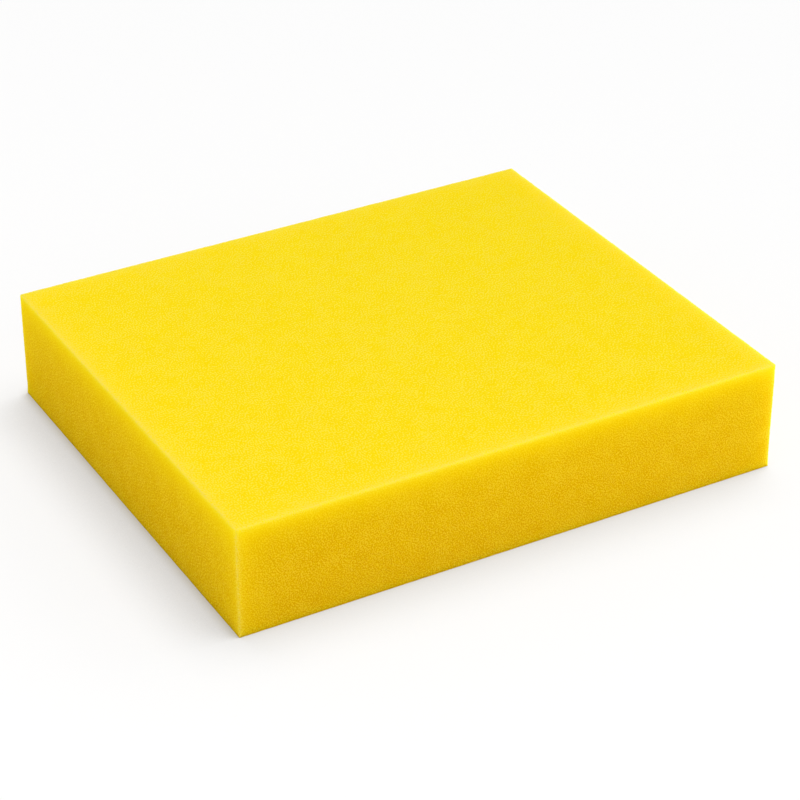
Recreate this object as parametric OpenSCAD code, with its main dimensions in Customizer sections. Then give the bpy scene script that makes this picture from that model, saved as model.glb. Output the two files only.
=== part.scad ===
// Foam sheet: a square-cut slab of open-cell polyurethane foam, in one piece.
//
// The slab has six flat faces as the blade left them. Every edge and corner is rounded
// a little, because the cut cells crumble and lean over where two faces meet.
//
// Frame: the origin is the centre of the underside, +X runs along the length, +Y across
// the width and +Z up through the thickness. All sizes are in millimetres.

/* [Sheet] */
// Length of the sheet, along X
sheet_length = 250; // [60:1:600]
// Width of the sheet, along Y
sheet_width = 210; // [60:1:600]
// Thickness of the sheet, along Z
sheet_thickness = 50; // [6:1:150]

/* [Edges] */
// Radius that the cut edges and corners have worn round to
edge_radius = 0.7; // [0.2:0.1:2.5]

/* [Finish] */
// Colour of the foam
foam_colour = "#f2c81b"; // [#f2c81b:Yellow, #e9e6dc:Off-white, #8d9094:Grey, #2e2f31:Charcoal]

/* [Hidden] */

// Number of straight steps in a full circle
$fn = 48;
// Distances from the middle of the slab to the axes of its corner posts
post_x = sheet_length / 2 - edge_radius;
post_y = sheet_width / 2 - edge_radius;
// Heights at which the rounding of the lower and upper edges is centred
low_z = edge_radius;
high_z = sheet_thickness - edge_radius;

// Upright section through the slab: a rectangle standing on y = 0 and centred on x = 0,
// with its four corners rounded.
module section(width) {
    inset = width / 2 - edge_radius;
    translate([-inset, 0])
        square([2 * inset, sheet_thickness]);
    translate([-width / 2, low_z])
        square([width, high_z - low_z]);
    for (x = [-inset, inset], y = [low_z, high_z])
        translate([x, y])
            circle(edge_radius);
}

// Bar that carries the section of the given width straight along Y for the given length
module bar(width, length) {
    translate([0, length / 2, 0])
        rotate([90, 0, 0])
            linear_extrude(length)
                section(width);
}

// Round post with a ball at each end, which joins the upright and level edges at a corner
module corner_post() {
    translate([0, 0, low_z])
        cylinder(h = high_z - low_z, r = edge_radius);
    for (z = [low_z, high_z])
        translate([0, 0, z])
            sphere(edge_radius);
}

// The whole slab: a bar each way, and a post where they meet at each corner
module foam_sheet() {
    color(foam_colour)
        union() {
            bar(sheet_length, 2 * post_y);
            rotate([0, 0, 90])
                bar(sheet_width, 2 * post_x);
            for (x = [-post_x, post_x], y = [-post_y, post_y])
                translate([x, y, 0])
                    corner_post();
        }
}

foam_sheet();
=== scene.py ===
"""Foam sheet: a square-cut slab of bright yellow open-cell foam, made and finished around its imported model.

Every length is in metres unless its name ends in _mm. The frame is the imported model's own: the origin is
the centre of the underside, +X runs along the length, +Y across the width and +Z up through the thickness.
"""

import logging
import math
from collections.abc import Mapping, Sequence
from dataclasses import dataclass
from enum import Enum
from typing import Union

import bmesh
import bpy
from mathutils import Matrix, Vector


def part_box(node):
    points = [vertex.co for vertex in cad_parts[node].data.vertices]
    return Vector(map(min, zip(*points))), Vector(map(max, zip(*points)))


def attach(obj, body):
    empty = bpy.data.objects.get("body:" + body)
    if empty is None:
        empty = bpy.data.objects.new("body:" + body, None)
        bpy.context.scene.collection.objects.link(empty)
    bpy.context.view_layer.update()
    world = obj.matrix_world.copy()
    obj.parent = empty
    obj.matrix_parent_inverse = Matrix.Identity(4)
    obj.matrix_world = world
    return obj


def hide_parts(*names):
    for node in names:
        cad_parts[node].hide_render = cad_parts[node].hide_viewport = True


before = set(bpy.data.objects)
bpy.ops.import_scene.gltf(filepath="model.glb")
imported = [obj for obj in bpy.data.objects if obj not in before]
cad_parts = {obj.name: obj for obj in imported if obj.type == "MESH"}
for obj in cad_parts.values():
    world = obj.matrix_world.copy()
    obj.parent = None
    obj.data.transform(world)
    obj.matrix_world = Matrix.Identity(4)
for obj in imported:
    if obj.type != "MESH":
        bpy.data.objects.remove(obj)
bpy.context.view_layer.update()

log = logging.getLogger("foam_sheet")
MM = 0.001
NODES_ACROSS = 14
NODE_SPACING = (220, 320)


# -------------------------------------------------------------------------------------------------------
# Node trees written as expressions
# -------------------------------------------------------------------------------------------------------

Feed = Union["Signal", float, int, bool, Sequence[float], bpy.types.ID]
Colour = tuple[float, float, float, float]


@dataclass(frozen=True)
class Signal:
    """One output of a node. Arithmetic on signals adds Math nodes to their tree."""

    graph: "Graph"
    socket: bpy.types.NodeSocket

    def __add__(self, other: Feed) -> "Signal":
        """The sum of two values."""
        return self.graph.math("ADD", self, other)

    __radd__ = __add__

    def __sub__(self, other: Feed) -> "Signal":
        """This value less another."""
        return self.graph.math("SUBTRACT", self, other)

    def __rsub__(self, other: Feed) -> "Signal":
        """Another value less this one."""
        return self.graph.math("SUBTRACT", other, self)

    def __mul__(self, other: Feed) -> "Signal":
        """The product of two values."""
        return self.graph.math("MULTIPLY", self, other)

    __rmul__ = __mul__

    def __truediv__(self, other: Feed) -> "Signal":
        """This value over another."""
        return self.graph.math("DIVIDE", self, other)

    def __pow__(self, other: Feed) -> "Signal":
        """This value to a power."""
        return self.graph.math("POWER", self, other)

    def __gt__(self, other: Feed) -> "Signal":
        """1 where this value is the greater, else 0."""
        return self.graph.math("GREATER_THAN", self, other)

    def output(self, name: str) -> "Signal":
        """Another output of the same node."""
        return Signal(self.graph, self.socket.node.outputs[name])


class Graph:
    """A shader or geometry node tree, and the few ways of adding to it."""

    def __init__(self, tree: bpy.types.NodeTree) -> None:
        """Takes over a tree and empties it."""
        self.tree = tree
        tree.nodes.clear()

    def add(
        self,
        kind: str,
        settings: Mapping[str, object] | None = None,
        feeds: Mapping[str | int, Feed] | None = None,
        output: str | int = 0,
    ) -> Signal:
        """Adds one node.

        Args:
            kind: The node's type, such as "ShaderNodeTexNoise".
            settings: The node's own properties, which are set first.
            feeds: A value or a signal for each input, by the input's name or place.
            output: The name or place of the socket to hand back.

        Returns:
            The chosen output, or the chosen input of a node that has no output.
        """
        node = self.tree.nodes.new(kind)
        place = len(self.tree.nodes) - 1
        row, column = divmod(place, NODES_ACROSS)
        node.location = (column * NODE_SPACING[0], -row * NODE_SPACING[1])
        for name, value in (settings or {}).items():
            setattr(node, name, value)
        for key, feed in (feeds or {}).items():
            self._feed(self._find(node.inputs, key), feed)
        ends = node.outputs if len(node.outputs) else node.inputs
        return Signal(self, self._find(ends, output))

    @staticmethod
    def _find(sockets: bpy.types.bpy_prop_collection, key: str | int) -> bpy.types.NodeSocket:
        """Finds a socket.

        Args:
            sockets: A node's inputs or outputs.
            key: The socket's place or its name.

        Returns:
            The socket with that place, or the one in use that has that name.
        """
        if isinstance(key, int):
            return sockets[key]
        return next(socket for socket in sockets if socket.name == key and socket.enabled)

    def _feed(self, socket: bpy.types.NodeSocket, feed: Feed) -> None:
        """Links a signal to a socket, or sets the socket's own value.

        Args:
            socket: The input to feed.
            feed: A signal or a plain value.
        """
        if isinstance(feed, Signal):
            self.tree.links.new(feed.socket, socket)
        else:
            socket.default_value = feed

    def math(self, operation: str, *values: Feed) -> Signal:
        """One Math node on up to three values."""
        return self.add("ShaderNodeMath", {"operation": operation}, dict(enumerate(values)))

    def vector(self, operation: str, *values: Feed, scale: Feed | None = None) -> Signal:
        """One Vector Math node.

        Args:
            operation: What the node does, such as "SUBTRACT".
            values: Its vectors, in order.
            scale: The number that a "SCALE" multiplies by.

        Returns:
            The vector that it makes.
        """
        feeds: dict[str | int, Feed] = dict(enumerate(values))
        if scale is not None:
            feeds["Scale"] = scale
        return self.add("ShaderNodeVectorMath", {"operation": operation}, feeds)

    def split(self, vector: Signal) -> tuple[Signal, Signal, Signal]:
        """The three components of a vector."""
        x = self.add("ShaderNodeSeparateXYZ", feeds={0: vector})
        return x, x.output("Y"), x.output("Z")

    def smooth(self, value: Feed, low: Feed, high: Feed) -> Signal:
        """0 below low, 1 above high, and a smooth step between."""
        settings = {"interpolation_type": "SMOOTHSTEP"}
        return self.add("ShaderNodeMapRange", settings, {"Value": value, "From Min": low, "From Max": high})

    def blend(self, factor: Feed, low: Feed, high: Feed) -> Signal:
        """A colour that goes from low to high as factor goes from 0 to 1."""
        feeds = {"Factor": factor, "A": low, "B": high}
        return self.add("ShaderNodeMix", {"data_type": "RGBA"}, feeds, "Result")

    def noise(self, place: Signal, period: float, detail: float = 0.0, seed: Feed = 0.0) -> Signal:
        """Smooth noise.

        Args:
            place: Where the noise is read.
            period: How far apart its swells lie, in the units of place.
            detail: How many finer layers it has.
            seed: Which of all such noises it is.

        Returns:
            A value about 0.5, between 0 and 1.
        """
        settings = {"noise_dimensions": "4D"}
        feeds = {"Vector": place, "W": seed, "Scale": 1 / period, "Detail": detail}
        return self.add("ShaderNodeTexNoise", settings, feeds)


# -------------------------------------------------------------------------------------------------------
# The slab's form
# -------------------------------------------------------------------------------------------------------


class Face(Enum):
    """The six cut faces, as the axis that each one faces along and its direction."""

    UNDERSIDE = (2, -1)
    TOP = (2, 1)
    LEFT = (0, -1)
    RIGHT = (0, 1)
    FRONT = (1, -1)
    BACK = (1, 1)

    @property
    def axis(self) -> int:
        """0, 1 or 2 for X, Y or Z."""
        return self.value[0]

    @property
    def side(self) -> int:
        """-1 or 1, for the low or the high end of the axis."""
        return self.value[1]


@dataclass(frozen=True)
class Block:
    """The slab's overall sizes, and distances measured inside it."""

    length: float
    width: float
    thickness: float
    edge_radius: float = 0.7 * MM
    foot_radius: float = 0.1 * MM
    cut_blend: float = 0.5 * MM
    turn_blend: float = 0.1 * MM

    @classmethod
    def from_frame(cls, node: str) -> "Block":
        """The block that fills a CAD node's box."""
        low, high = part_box(node)
        return cls(*(high - low))

    @property
    def half(self) -> Vector:
        """Half the size along each axis."""
        return Vector((self.length, self.width, self.thickness)) / 2

    @property
    def centre(self) -> Vector:
        """The middle of the slab."""
        return Vector((0, 0, self.thickness / 2))

    def depths(self, graph: Graph, place: Signal) -> tuple[Signal, Signal, Signal]:
        """How deep inside the block a point lies along each axis.

        Args:
            graph: The tree to add to.
            place: The point, in metres.

        Returns:
            How far it lies inside the nearer face along X, along Y and along Z, in metres.
        """
        from_centre = graph.vector("SUBTRACT", place, tuple(self.centre))
        inside = graph.vector("SUBTRACT", tuple(self.half), graph.vector("ABSOLUTE", from_centre))
        return graph.split(inside)

    def edge_distance(self, graph: Graph, place: Signal) -> Signal:
        """How far a point of the surface lies from the nearest edge.

        Args:
            graph: The tree to add to.
            place: The point, in metres.

        Returns:
            The middle one of the point's three depths, in metres.
        """
        x, y, z = self.depths(graph, place)
        least = graph.math("MINIMUM", graph.math("MINIMUM", x, y), z)
        most = graph.math("MAXIMUM", graph.math("MAXIMUM", x, y), z)
        return x + y + z - least - most

    def upright_distance(self, graph: Graph, place: Signal) -> Signal:
        """How far a point of a side lies from the nearest upright edge."""
        x, y, _ = self.depths(graph, place)
        return graph.math("MAXIMUM", x, y)

    def on_end(self, graph: Graph, place: Signal) -> Signal:
        """1 for a point of a side that faces along X, 0 for one that faces along Y."""
        x, y, _ = self.depths(graph, place)
        return y > x

    def below_top(self, graph: Graph, place: Signal) -> Signal:
        """How far a point lies below the top face."""
        _, _, height = graph.split(place)
        return self.thickness - height

    def sawn(self, graph: Graph, place: Signal) -> Signal:
        """1 on the four sawn sides, 0 on the two slit faces, and a blend where they meet."""
        x, y, z = self.depths(graph, place)
        return graph.smooth(z - graph.math("MINIMUM", x, y), -self.cut_blend, self.cut_blend)

    def on_slit(self, graph: Graph, place: Signal) -> Signal:
        """1 on the two slit faces, 0 on the four sawn sides, and a narrower blend where they meet."""
        x, y, z = self.depths(graph, place)
        return graph.smooth(graph.math("MINIMUM", x, y) - z, -self.turn_blend, self.turn_blend)


@dataclass(frozen=True)
class SurfaceGrid:
    """The mesh that the slab is shaped from: squares on six flat faces, finer towards the edges.

    Each reach halves the squares that lie that near an edge. The first, face_reach, takes in whole faces.
    """

    block: Block
    square: float = 3.0 * MM
    face_reach: float = 1.0
    underside_reach: float = 6.0 * MM
    edge_reaches: tuple[float, ...] = (2.2 * MM, 0.6 * MM)
    map_gap: float = 0.004

    def counts(self) -> tuple[int, ...]:
        """How many of the largest squares lie along X, Y and Z."""
        return tuple(max(1, round(2 * half / self.square)) for half in self.block.half)

    def build(self, name: str) -> bpy.types.Object:
        """Makes the grid as a mesh object with a map laid out for its six faces.

        Args:
            name: The object's name.

        Returns:
            The object, with its place in its mesh.
        """
        shape = bmesh.new()
        uv = shape.loops.layers.uv.new("OFBake")
        corners: dict[tuple[int, ...], bmesh.types.BMVert] = {}
        for face in Face:
            self._lay(shape, uv, corners, face)
        for reach in (self.face_reach, *self.edge_reaches):
            self._refine(shape, reach)
        mesh = bpy.data.meshes.new(name)
        shape.to_mesh(mesh)
        shape.free()
        made = bpy.data.objects.new(name, mesh)
        bpy.context.scene.collection.objects.link(made)
        return made

    def _lay(
        self,
        shape: bmesh.types.BMesh,
        uv: bmesh.types.BMLayerItem,
        corners: dict[tuple[int, ...], bmesh.types.BMVert],
        face: Face,
    ) -> None:
        """Lays one flat face of squares, sharing the corners that other faces have made.

        Args:
            shape: The mesh to add to.
            uv: The mesh's map.
            corners: The vertices made so far, by their place in the grid.
            face: The face to lay.
        """
        counts = self.counts()
        across, along = (face.axis + 1) % 3, (face.axis + 2) % 3
        order = ((0, 0), (1, 0), (1, 1), (0, 1))[:: face.side]
        for i in range(counts[across]):
            for j in range(counts[along]):
                ring = []
                for step_i, step_j in order:
                    at = [0, 0, 0]
                    at[face.axis] = counts[face.axis] * (face.side > 0)
                    at[across], at[along] = i + step_i, j + step_j
                    ring.append(self._corner(shape, corners, tuple(at)))
                for loop in shape.faces.new(ring).loops:
                    loop[uv].uv = self._mapped(face, loop.vert.co)

    def _corner(
        self,
        shape: bmesh.types.BMesh,
        corners: dict[tuple[int, ...], bmesh.types.BMVert],
        at: tuple[int, ...],
    ) -> bmesh.types.BMVert:
        """The vertex at one place of the grid, made once.

        Args:
            shape: The mesh to add to.
            corners: The vertices made so far, by their place in the grid.
            at: The vertex's place, as a count of squares along each axis.

        Returns:
            The vertex, new or made before.
        """
        if at not in corners:
            share = [2 * place / count - 1 for place, count in zip(at, self.counts())]
            corners[at] = shape.verts.new(self.block.centre + Vector(share) * self.block.half)
        return corners[at]

    def _mapped(self, face: Face, place: Vector) -> tuple[float, float]:
        """Where a point of a face lies on the flat map.

        The two slit faces lie side by side along the foot of the map, the underside turned a quarter. The
        four sides fill two rows above them, drawn taller than they are, because their cells show most.

        Args:
            face: The face that the point is on.
            place: The point, in metres.

        Returns:
            The point's two map coordinates, from 0 to 1.
        """
        x, y, z = (place - self.block.centre + self.block.half)[:]
        length, width, height = 2 * self.block.half
        sheet = length + width
        foot = length / sheet
        row = (1 - foot) / 2
        spots = {
            Face.TOP: ((0, length, x), (0, foot, y * length / width)),
            Face.UNDERSIDE: ((length, width, y), (0, foot, x)),
            Face.FRONT: ((0, length, x), (foot, row, z)),
            Face.RIGHT: ((length, width, y), (foot, row, z)),
            Face.BACK: ((0, length, x), (foot + row, row, z)),
            Face.LEFT: ((length, width, y), (foot + row, row, z)),
        }
        (start, span, along), (low, rise, up) = spots[face]
        tall = height if face.axis != 2 else length
        gap = self.map_gap
        return (
            (start + span * (gap + (1 - 2 * gap) * along / span)) / sheet,
            low + rise * (gap + (1 - 2 * gap) * up / tall),
        )

    def _refine(self, shape: bmesh.types.BMesh, reach: float) -> None:
        """Halves the squares near the edges. The middle of the underside, seen least, keeps the largest.

        Args:
            shape: The mesh to refine.
            reach: How near an edge the middle of a square has to lie, in metres.
        """
        chosen = set()
        for square in shape.faces:
            middle = square.calc_center_median()
            from_centre = middle - self.block.centre
            depths = sorted(half - abs(at) for half, at in zip(self.block.half, from_centre))
            underneath = middle.z < self.block.edge_radius
            limit = min(reach, self.underside_reach) if underneath else reach
            if depths[1] < limit:
                chosen.update(square.edges)
        bmesh.ops.subdivide_edges(shape, edges=list(chosen), cuts=1, use_grid_fill=True)


@dataclass(frozen=True)
class Strokes:
    """Torn cell walls seen edge on: short strokes that run every way. Lengths are in millimetres."""

    gap_mm: float
    run_mm: float
    contrast: float
    shift_mm: float

    def draw(self, graph: Graph, flat_mm: Signal) -> Signal:
        """How far the strokes lift a spot, to either side of 0.

        Args:
            graph: The tree to add to.
            flat_mm: The spot on its face, in millimetres.

        Returns:
            A wave that is strong along its strokes and fades out past their ends.
        """
        waves = graph.add(
            "ShaderNodeTexGabor",
            {"gabor_type": "2D"},
            {
                "Vector": graph.vector("ADD", flat_mm, (self.shift_mm, self.shift_mm, 0.0)),
                "Scale": 1 / self.run_mm,
                "Frequency": self.run_mm / self.gap_mm,
                "Anisotropy": 0.0,
            },
            "Value",
        )
        return (waves - 0.5) * self.contrast


@dataclass(frozen=True)
class Cells:
    """The open cells of the foam as the cuts lay them bare. Lengths are in millimetres."""

    block: Block
    strokes: tuple[Strokes, ...] = (
        Strokes(gap_mm=1.0, run_mm=1.6, contrast=4.0, shift_mm=0.0),
        Strokes(gap_mm=1.8, run_mm=2.2, contrast=1.6, shift_mm=371.0),
    )
    stretch_y: float = 1.5
    patch_mm: float = 6.0
    slit_patches: float = 1.3
    sawn_patches: float = 0.9
    patch_detail: float = 2.0
    patch_seed: float = 17.0
    pit_mm: float = 0.5
    pit_seed: float = 13.0

    def walls(self, graph: Graph, place: Signal) -> Signal:
        """How far a spot stands up among the cut cell walls.

        Args:
            graph: The tree to add to.
            place: The spot, in metres.

        Returns:
            About 1 on the thin lips, a half between and 0 down in a pore.
        """
        flat_mm = self._flat(graph, place)
        patches = graph.noise(place, self.patch_mm * MM, self.patch_detail, self.patch_seed)
        sawn = self.block.sawn(graph, place)
        depth = self.slit_patches + sawn * (self.sawn_patches - self.slit_patches)
        height = 0.5 + (patches - 0.5) * depth
        for strokes in self.strokes:
            height = height + strokes.draw(graph, flat_mm)
        return height

    def pits(self, graph: Graph, place: Signal) -> Signal:
        """The fine unevenness of a cut, from 0 to 1."""
        return graph.noise(place, self.pit_mm * MM, seed=self.pit_seed)

    def _flat(self, graph: Graph, place: Signal) -> Signal:
        """Lays a spot flat on its own face. The cells rose along Y and are longer that way.

        Args:
            graph: The tree to add to.
            place: The spot, in metres.

        Returns:
            The spot's two coordinates on its face, in millimetres.
        """
        x, y, z = graph.split(graph.vector("DIVIDE", place, (MM, MM * self.stretch_y, MM)))
        slit = self.block.on_slit(graph, place)
        on_end = self.block.on_end(graph, place) * (1 - slit)
        return graph.add("ShaderNodeCombineXYZ", feeds={0: x + (y - x) * on_end, 1: z + (y - z) * slit})


@dataclass(frozen=True)
class SlabForm:
    """What the blade and the cells do to the block: rounded edges, crumbled lips and faint hollows."""

    block: Block
    foot_reach: float = 5.0 * MM
    crumble: float = 0.12 * MM
    crumble_reach: float = 1.6 * MM
    crumb: float = 1.3 * MM
    crumb_detail: float = 1.0
    crumb_limits: tuple[float, float] = (0.35, 0.75)
    hollow: float = 0.1 * MM
    hollow_period: float = 7.0 * MM
    hollow_detail: float = 2.0
    hollow_limits: tuple[float, float] = (0.25, 0.75)
    crease_angle: float = math.radians(60)
    seed: float = 11.0

    def tree(self, finish: bpy.types.Material) -> tuple[bpy.types.NodeTree, dict[str, float]]:
        """The geometry tree that turns the flat grid into the slab.

        Args:
            finish: The material that the tree puts on.

        Returns:
            The tree, and the value for each of its number inputs by the input's identifier.
        """
        tree = bpy.data.node_groups.new("foam slab", "GeometryNodeTree")
        graph = Graph(tree)
        sizes = {
            "Edge radius": self.block.edge_radius,
            "Foot radius": self.block.foot_radius,
            "Crumble": self.crumble,
            "Crumble reach": self.crumble_reach,
            "Hollow": self.hollow,
            "Seed": self.seed,
        }
        tree.interface.new_socket("Geometry", in_out="INPUT", socket_type="NodeSocketGeometry")
        sockets = {
            name: tree.interface.new_socket(name, in_out="INPUT", socket_type="NodeSocketFloat")
            for name in sizes
        }
        tree.interface.new_socket("Geometry", in_out="OUTPUT", socket_type="NodeSocketGeometry")
        given = graph.add("NodeGroupInput")
        size = {name: given.output(name) for name in sizes}

        surface = self._surface(graph, size)
        shaped = graph.add("GeometryNodeSetPosition", feeds={"Geometry": given, "Position": surface})
        smooth = graph.add("GeometryNodeSetShadeSmooth", feeds={"Geometry": shaped})
        bend = graph.add("GeometryNodeInputMeshEdgeAngle", output="Unsigned Angle")
        creased = graph.add(
            "GeometryNodeSetShadeSmooth",
            {"domain": "EDGE"},
            {"Geometry": smooth, "Selection": bend > self.crease_angle, "Shade Smooth": False},
        )
        real = graph.add("GeometryNodeRealizeInstances", feeds={"Geometry": creased})
        dressed = graph.add("GeometryNodeSetMaterial", feeds={"Geometry": real, "Material": finish})
        graph.add("NodeGroupOutput", feeds={"Geometry": dressed})
        return tree, {sockets[name].identifier: value for name, value in sizes.items()}

    def _surface(self, graph: Graph, size: Mapping[str, Signal]) -> Signal:
        """Where each point of the grid goes: onto the rounded block, less what has crumbled or sunk in.

        Args:
            graph: The tree to add to.
            size: The tree's number inputs by name.

        Returns:
            The point's new place.
        """
        place = graph.add("GeometryNodeInputPosition")
        _, _, height = graph.split(place)
        above_foot = graph.smooth(height, 0.0, self.foot_reach)
        radius = size["Foot radius"] + (size["Edge radius"] - size["Foot radius"]) * above_foot
        from_centre = graph.vector("SUBTRACT", place, tuple(self.block.centre))
        ball = graph.vector("SCALE", (1, 1, 1), scale=radius)
        room = graph.vector("SUBTRACT", tuple(self.block.half), ball)
        below = graph.vector("SCALE", room, scale=-1)
        core = graph.vector("MINIMUM", graph.vector("MAXIMUM", from_centre, below), room)
        outward = graph.vector("NORMALIZE", graph.vector("SUBTRACT", from_centre, core))
        sunk = self._crumbled(graph, place, size) * above_foot + self._hollowed(graph, place, size)
        rounded = graph.vector("ADD", core, graph.vector("SCALE", outward, scale=radius - sunk))
        return graph.vector("ADD", rounded, tuple(self.block.centre))

    def _crumbled(self, graph: Graph, place: Signal, size: Mapping[str, Signal]) -> Signal:
        """How much has crumbled away at a point near an edge.

        Args:
            graph: The tree to add to.
            place: The point, in metres.
            size: The tree's number inputs by name.

        Returns:
            The depth lost, in metres.
        """
        inward = graph.smooth(self.block.edge_distance(graph, place), 0.0, size["Crumble reach"])
        crumbs = graph.noise(place, self.crumb, self.crumb_detail, size["Seed"])
        return size["Crumble"] * (1 - inward) * graph.smooth(crumbs, *self.crumb_limits)

    def _hollowed(self, graph: Graph, place: Signal, size: Mapping[str, Signal]) -> Signal:
        """How deep the broad, faint hollows of a cut face are at a point."""
        # The place is counted in periods here, because a noise's scale multiplies its seed as well.
        periods = graph.vector("SCALE", place, scale=1 / self.hollow_period)
        swells = graph.noise(periods, 1.0, self.hollow_detail, size["Seed"] + 1)
        return size["Hollow"] * graph.smooth(swells, *self.hollow_limits)


@dataclass
class FoamSheet:
    """The one piece: the whole slab of foam."""

    block: Block
    name: str = "foam_slab"

    def build(self, finish: bpy.types.Material) -> bpy.types.Object:
        """Models the slab and puts its finish on.

        Args:
            finish: The foam's material.

        Returns:
            The finished piece, a plain mesh with no modifier.
        """
        raw = SurfaceGrid(self.block).build(self.name + "_grid")
        tree, inputs = SlabForm(self.block).tree(finish)
        shaping = raw.modifiers.new("slab form", "NODES")
        shaping.node_group = tree
        for identifier, value in inputs.items():
            shaping[identifier] = value
        bpy.context.view_layer.update()
        shaped = raw.evaluated_get(bpy.context.evaluated_depsgraph_get())
        piece = bpy.data.objects.new(self.name, bpy.data.meshes.new_from_object(shaped))
        piece.data.name = self.name
        bpy.context.scene.collection.objects.link(piece)
        bpy.data.objects.remove(raw)
        return piece

    def declare(self, piece: bpy.types.Object) -> None:
        """Says which body the slab moves with and what it stands for.

        Args:
            piece: The finished slab.
        """
        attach(piece, "root")
        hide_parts("foam_sheet")


# -------------------------------------------------------------------------------------------------------
# Finish
# -------------------------------------------------------------------------------------------------------


@dataclass(frozen=True)
class CutColours:
    """The colours of one kind of cut: down in the pores, between, and on the lips of the cells, with painted
    shade in the pores and painted highlight on the lips.
    """

    pore: Colour
    body: Colour
    lip: Colour

    def blend(self, graph: Graph, height: Signal) -> Signal:
        """The colour at a height among the cut cells, from 0 to 1."""
        low = graph.blend(height * 2, self.pore, self.body)
        return graph.blend(height * 2 - 1, low, self.lip)


@dataclass(frozen=True)
class FoamFinish:
    """Matte yellow open-cell foam, painted paler along its edges, where light soaks in.

    The top and the underside are slit smooth and look paler than the sawn sides, whose cells are torn open;
    part of the sides' darker, more orange colour is painted shade.
    """

    block: Block
    cells: Cells
    slit: CutColours = CutColours(
        pore=(0.9215, 0.6576, 0.0010, 1),
        body=(0.9250, 0.6800, 0.0030, 1),
        lip=(0.9285, 0.7052, 0.0457, 1),
    )
    # Darker and more orange than the slit faces: partly painted shade of the upright sides.
    sawn: CutColours = CutColours(
        pore=(0.731, 0.386, 0.0001, 1),
        body=(0.790, 0.490, 0.0002, 1),
        lip=(0.856, 0.580, 0.018, 1),
    )
    # Painted light: a pale rim along the edges of the top and the underside.
    painted_rim: Colour = (0.915, 0.690, 0.055, 1)
    painted_rim_mm: float = 3.0
    # Painted light: the sides are coloured paler under the top edge and beside the upright edges, where light
    # soaks through.
    painted_glow: Colour = (0.990, 0.745, 0.0001, 1)
    painted_glow_mm: float = 6.5
    end_painted_glow_mm: float = 8.0
    painted_glow_top: float = 0.95
    painted_glow_upright: float = 0.46
    # Painted highlight: a pale line along every rounded edge.
    ridge_highlight: Colour = (0.860, 0.610, 0.100, 1)
    ridge_highlight_mm: float = 0.9
    ridge_highlight_share: float = 0.65
    edge_grain: float = 0.45
    # Painted light: a redder, lighter band along the foot of the sides, which offsets the shade there.
    foot: Colour = (0.990, 0.490, 0.0002, 1)
    painted_foot_mm: float = 0.7
    pore_roughness: float = 0.93
    lip_roughness: float = 0.87
    bump: float = 0.25 * MM
    slit_bump: float = 0.2
    sawn_bump: float = 0.6
    gloss: float = 0.02
    scatter_mm: tuple[float, ...] = (7.0, 7.0, 1.2)
    scatter_share: float = 0.7

    def material(self) -> bpy.types.Material:
        """Builds the material.

        Returns:
            A material that reads Object coordinates only.
        """
        made = bpy.data.materials.new("yellow foam")
        made.use_nodes = True
        graph = Graph(made.node_tree)
        place = graph.add("ShaderNodeTexCoord", output="Object")
        sawn = self.block.sawn(graph, place)
        height = self.cells.walls(graph, place)
        faces = self._slit_face(graph, place, height)
        sides = self._sawn_side(graph, place, height)
        bump = graph.add(
            "ShaderNodeBump",
            feeds={
                "Strength": self.slit_bump + sawn * (self.sawn_bump - self.slit_bump),
                "Distance": self.bump,
                "Height": self.cells.pits(graph, place),
            },
        )
        surface = graph.add(
            "ShaderNodeBsdfPrincipled",
            {"subsurface_method": "RANDOM_WALK"},
            {
                "Base Color": graph.blend(sawn, faces, sides),
                "Roughness": self.pore_roughness + height * (self.lip_roughness - self.pore_roughness),
                "Normal": bump,
                "Subsurface Weight": self.scatter_share,
                "Subsurface Radius": tuple(mm * MM for mm in self.scatter_mm),
                "Subsurface Scale": 1.0,
                "Specular IOR Level": self.gloss,
            },
        )
        graph.add("ShaderNodeOutputMaterial", feeds={"Surface": surface})
        return made

    def _slit_face(self, graph: Graph, place: Signal, height: Signal) -> Signal:
        """The colour of the top and the underside: fine cut cells, with a painted pale rim and painted
        highlights on the ridges at the edges.

        Args:
            graph: The tree to add to.
            place: The spot, in metres.
            height: How far the spot stands up among the cell walls, from 0 to 1.

        Returns:
            The spot's colour.
        """
        edge = self.block.edge_distance(graph, place) / MM
        lips = self._lips(height)
        # Painted pale rim of light near the edges.
        painted_rim = self._near(graph, edge, self.painted_rim_mm) * lips
        with_painted_rim = graph.blend(painted_rim, self.slit.blend(graph, height), self.painted_rim)
        # Painted highlight along the edge ridges.
        ridge_highlight = self._near(graph, edge, self.ridge_highlight_mm) * self.ridge_highlight_share * lips
        return graph.blend(ridge_highlight, with_painted_rim, self.ridge_highlight)

    def _sawn_side(self, graph: Graph, place: Signal, height: Signal) -> Signal:
        """The colour of a side: torn cells, with painted light under the top edge and beside the upright
        edges, a painted highlight on the edge ridges and a painted redder band along the foot.

        Args:
            graph: The tree to add to.
            place: The spot, in metres.
            height: How far the spot stands up among the cell walls, from 0 to 1.

        Returns:
            The spot's colour.
        """
        down = self.block.below_top(graph, place) / MM
        across = self.block.upright_distance(graph, place) / MM
        soaks_mm = self.painted_glow_mm + self.block.on_end(graph, place) * (self.end_painted_glow_mm - self.painted_glow_mm)
        from_top = self._near(graph, down, soaks_mm) * self.painted_glow_top
        from_upright = self._near(graph, across, soaks_mm) * self.painted_glow_upright
        # Painted light soaking in from the top edge and from the upright edges.
        painted_glow = from_top + from_upright - from_top * from_upright
        with_painted_glow = graph.blend(painted_glow, self.sawn.blend(graph, height), self.painted_glow)
        edge = graph.math("MINIMUM", down, across)
        # Painted highlight along the edge ridges.
        ridge_highlight = self._near(graph, edge, self.ridge_highlight_mm) * self.ridge_highlight_share * self._lips(height)
        with_ridge_highlight = graph.blend(ridge_highlight, with_painted_glow, self.ridge_highlight)
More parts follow.
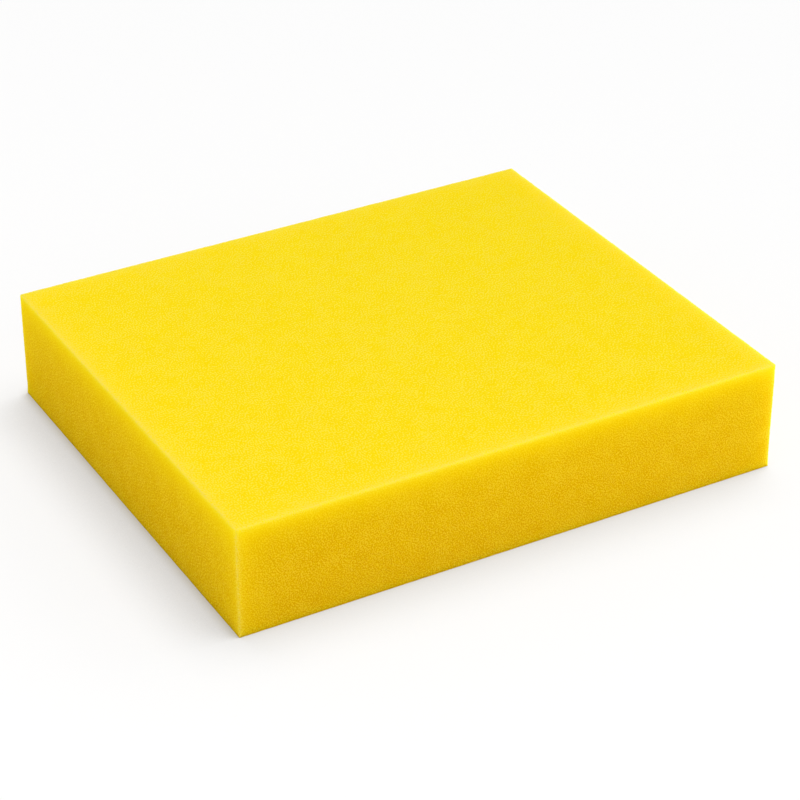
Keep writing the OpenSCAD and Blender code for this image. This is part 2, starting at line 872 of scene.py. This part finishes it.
        # Painted redder band along the foot, offsetting its shade.
        up = self.block.thickness / MM - down
        return graph.blend(self._near(graph, up, self.painted_foot_mm), with_ridge_highlight, self.foot)

    def _lips(self, height: Signal) -> Signal:
        """How much of the painted pale edge light a spot takes on: the lips of the cells more than their
        pores.
        """
        return height * (2 * self.edge_grain) + (1 - self.edge_grain)

    @staticmethod
    def _near(graph: Graph, distance_mm: Signal, fade_mm: Feed) -> Signal:
        """1 at no distance, fading to about a third every fade_mm."""
        return graph.math("EXPONENT", distance_mm / fade_mm * -1)


# -------------------------------------------------------------------------------------------------------
# Studio
# -------------------------------------------------------------------------------------------------------


KEY_BEARING = 110.0


def toward(bearing: float, height: float) -> Vector:
    """The direction of something from the slab.

    Args:
        bearing: Its bearing in degrees: 0 in front, 90 on the right.
        height: Its height over the floor, in degrees.

    Returns:
        A vector of length 1.
    """
    turn, rise = math.radians(bearing), math.radians(height)
    return Vector((math.sin(turn) * math.cos(rise), -math.cos(turn) * math.cos(rise), math.sin(rise)))


def grey(level: float) -> Colour:
    """A neutral colour from 0, black, to 1, white."""
    return (level, level, level, 1.0)


def seen(graph: Graph) -> Signal:
    """Tells what is looked at from what only light meets.

    Args:
        graph: The tree to add to.

    Returns:
        1 for what the camera sees, also by reflection or through glass, and 0 for light on its way.
    """
    path = graph.add("ShaderNodeLightPath", output="Is Camera Ray")
    mirrored = graph.math("MAXIMUM", path.output("Is Glossy Ray"), path.output("Is Transmission Ray"))
    return graph.math("MAXIMUM", path, mirrored)


@dataclass(frozen=True)
class Lamp:
    """A broad soft lamp. level is how bright it makes a white card that faces it from where the slab is.

    distance is 0 for a lamp that is too far away to light one end of the slab more than the other.
    """

    name: str
    bearing: float
    height: float
    level: float
    spread: float = 60.0
    distance: float = 0.0
    tint: tuple[float, float, float] = (1.0, 1.0, 1.0)

    def build(self) -> None:
        """Adds the lamp to the scene."""
        way = toward(self.bearing, self.height)
        made = bpy.data.objects.new(self.name, self._near() if self.distance else self._far())
        made.data.color = self.tint
        made.location = way * self.distance
        made.rotation_euler = way.to_track_quat("Z", "Y").to_euler()
        made.visible_camera = False
        bpy.context.scene.collection.objects.link(made)

    def _far(self) -> bpy.types.Light:
        """A distant lamp that fills its spread of the sky.

        Returns:
            The lamp's data.
        """
        lamp = bpy.data.lights.new(self.name, "SUN")
        lamp.energy = self.level * math.pi
        lamp.angle = math.radians(self.spread)
        return lamp

    def _near(self) -> bpy.types.Light:
        """A round softbox that fills the same spread, seen from the slab.

        Returns:
            The lamp's data.
        """
        lamp = bpy.data.lights.new(self.name, "AREA")
        lamp.shape = "DISK"
        radius = self.distance * math.tan(math.radians(self.spread / 2))
        lamp.size = 2 * radius
        lamp.energy = self.level * math.pi**2 * (radius**2 + self.distance**2)
        return lamp


@dataclass(frozen=True)
class Floor:
    """A wide white floor that keeps the slab's soft shadow, partly painted on it. Bearings and leans are in
    degrees.

    The camera finds it white. The light that it throws back on the slab is weaker close beside the slab, and
    strong again right at its foot, most of all in front and on the right: painted shade and painted light in
    the floor's colour as light finds it.
    """

    size: float = 12.0
    white: float = 0.987
    lit_share: float = 0.2
    shadow_bearing: float = KEY_BEARING
    shadow_lean: float = 45.0
    shadow_reach: float = 32.5 * MM
    shadow_depth: float = 0.68
    shadow_power: float = 1.75
    contact_bearing: float = 30.0
    contact_lean: float = 30.0
    contact_reach: float = 5.0 * MM
    contact_power: float = 1.5
    # Painted warm shade where the slab meets the floor.
    contact_shade_tint: Colour = (0.44, 0.37, 0.14, 1)
    # The floor's colour as light finds it, painted darker beside the slab and lighter at its foot.
    bounce: float = 0.75
    bounce_bearing: float = 45.0
    bounce_lean: float = 35.0
    bounce_reach: float = 60.0 * MM
    bounce_power: float = 1.45
    painted_foot_bounce: float = 0.95
    foot_lean: float = 55.0
    foot_reach: float = 4.0 * MM
    sky_samples: int = 8

    def build(self) -> None:
        """Adds the floor to the scene."""
        shape = bmesh.new()
        bmesh.ops.create_grid(shape, x_segments=1, y_segments=1, size=self.size / 2)
        mesh = bpy.data.meshes.new("floor")
        shape.to_mesh(mesh)
        shape.free()
        mesh.materials.append(self._material())
        floor = bpy.data.objects.new("floor", mesh)
        bpy.context.scene.collection.objects.link(floor)

    def _material(self) -> bpy.types.Material:
        """Builds the floor's material.

        Returns:
            A material with one look for the camera and another for light on its way.
        """
        made = bpy.data.materials.new("white floor")
        made.use_nodes = True
        graph = Graph(made.node_tree)
        paper = graph.add("ShaderNodeBsdfDiffuse", feeds={"Color": self._bounce_colour(graph)})
        lit = graph.add("ShaderNodeBsdfDiffuse", feeds={"Color": grey(self.white)})
        shown = graph.add("ShaderNodeMixShader", feeds={0: self.lit_share, 1: self._white_with_painted_shadow(graph), 2: lit})
        mixed = graph.add("ShaderNodeMixShader", feeds={0: seen(graph), 1: paper, 2: shown})
        graph.add("ShaderNodeOutputMaterial", feeds={"Surface": mixed})
        return made

    def _bounce_colour(self, graph: Graph) -> Signal:
        """The floor as the slab's light finds it, with painted shade beside the slab and painted light at its
        foot.

        Args:
            graph: The tree to add to.

        Returns:
            The colour that light bounces with.
        """
        # Painted shade beside the slab, and painted light at its foot.
        open_sky = self._open_sky(graph, self.bounce_reach, self.bounce_bearing, self.bounce_lean)
        painted_shade_beside = graph.blend(open_sky**self.bounce_power, grey(0.0), grey(self.bounce))
        painted_light_at_foot = 1 - self._open_sky(graph, self.foot_reach, self.bounce_bearing + 180, self.foot_lean)
        return graph.blend(painted_light_at_foot, painted_shade_beside, grey(self.painted_foot_bounce))

    def _white_with_painted_shadow(self, graph: Graph) -> Signal:
        """The floor's own white, with the slab's painted soft shadow and the painted warm shade where they
        touch.

        Args:
            graph: The tree to add to.

        Returns:
            A shader.
        """
        # Painted shadow beside the slab, and painted warm shade where it touches the floor.
        hidden = 1 - self._open_sky(graph, self.shadow_reach, self.shadow_bearing, self.shadow_lean)
        contact_shade = 1 - self._open_sky(graph, self.contact_reach, self.contact_bearing, self.contact_lean)
        colour = graph.blend(contact_shade**self.contact_power, grey(self.white), self.contact_shade_tint)
        strength = 1 - hidden**self.shadow_power * self.shadow_depth
        return graph.add("ShaderNodeEmission", feeds={"Color": colour, "Strength": strength})

    def _open_sky(self, graph: Graph, reach: float, bearing: float, lean: float) -> Signal:
        """How much of the sky a spot of the floor sees.

        Args:
            graph: The tree to add to.
            reach: How far away things still hide the sky, in metres.
            bearing: Which way the spot looks.
            lean: How far it leans that way from straight up.

        Returns:
            1 in the open, down to 0 under the slab.
        """
        way = graph.vector("NORMALIZE", tuple(toward(bearing, 90 - lean)))
        feeds = {"Distance": reach, "Normal": way}
        return graph.add("ShaderNodeAmbientOcclusion", {"samples": self.sky_samples}, feeds, "AO")


@dataclass(frozen=True)
class Studio:
    """A pale floor, soft light from all round and a long-lensed camera."""

    block: Block
    floor: Floor = Floor()
    ambient: float = 0.34
    backdrop: float = 1.0
    lamps: tuple[Lamp, ...] = (
        Lamp("key", bearing=KEY_BEARING, height=65.0, level=0.285),
        Lamp("front_fill", bearing=30.0, height=12.5, level=0.577, distance=1.2, tint=(0.98, 1.0, 1.0)),
        Lamp("left_fill", bearing=-90.0, height=18.0, level=0.38, distance=0.9, tint=(1.0, 0.935, 0.9)),
        Lamp("right_fill", bearing=100.0, height=15.0, level=0.56),
        Lamp("back_fill", bearing=180.0, height=15.0, level=0.20),
    )
    camera_bearing: float = -29.43
    camera_height: float = 31.29
    camera_distance: float = 1.156
    camera_aim: tuple[float, float] = (4.5 * MM, -9.0 * MM)
    lens_mm: float = 121.4

    def build(self) -> None:
        """Sets up the floor, the light, the camera and how colours are shown."""
        self.floor.build()
        self._world()
        for lamp in self.lamps:
            lamp.build()
        self._camera()
        bpy.context.scene.view_settings.view_transform = "Standard"

    def _world(self) -> None:
        """Even light from all round, and a white backdrop."""
        world = bpy.data.worlds.new("studio")
        world.use_nodes = True
        graph = Graph(world.node_tree)
        light = graph.add("ShaderNodeBackground", feeds={"Color": grey(1.0), "Strength": self.ambient})
        shown = graph.add("ShaderNodeBackground", feeds={"Color": grey(1.0), "Strength": self.backdrop})
        mixed = graph.add("ShaderNodeMixShader", feeds={0: seen(graph), 1: light, 2: shown})
        graph.add("ShaderNodeOutputWorld", feeds={"Surface": mixed})
        bpy.context.scene.world = world

    def _camera(self) -> None:
        """The camera, looking down on the near corner."""
        back = toward(self.camera_bearing, self.camera_height)
        right = Vector((-back.y, back.x, 0)).normalized()
        up = back.cross(right)
        aim = self.block.centre + right * self.camera_aim[0] + up * self.camera_aim[1]
        data = bpy.data.cameras.new("camera")
        data.lens = self.lens_mm
        camera = bpy.data.objects.new("camera", data)
        camera.location = aim + back * self.camera_distance
        camera.rotation_euler = back.to_track_quat("Z", "Y").to_euler()
        bpy.context.scene.collection.objects.link(camera)
        bpy.context.scene.camera = camera


def main() -> None:
    """Builds the studio and the slab."""
    logging.basicConfig(level=logging.INFO, format="%(name)s: %(message)s")
    block = Block.from_frame("foam_sheet")
    Studio(block).build()
    sheet = FoamSheet(block)
    piece = sheet.build(FoamFinish(block, Cells(block)).material())
    sheet.declare(piece)
    triangles = sum(len(face.vertices) - 2 for face in piece.data.polygons)
    sides_mm = tuple(side / MM for side in piece.dimensions)
    log.info("%s: %d triangles, %.1f x %.1f x %.1f mm", piece.name, triangles, *sides_mm)


if __name__ == "__main__":
    main()
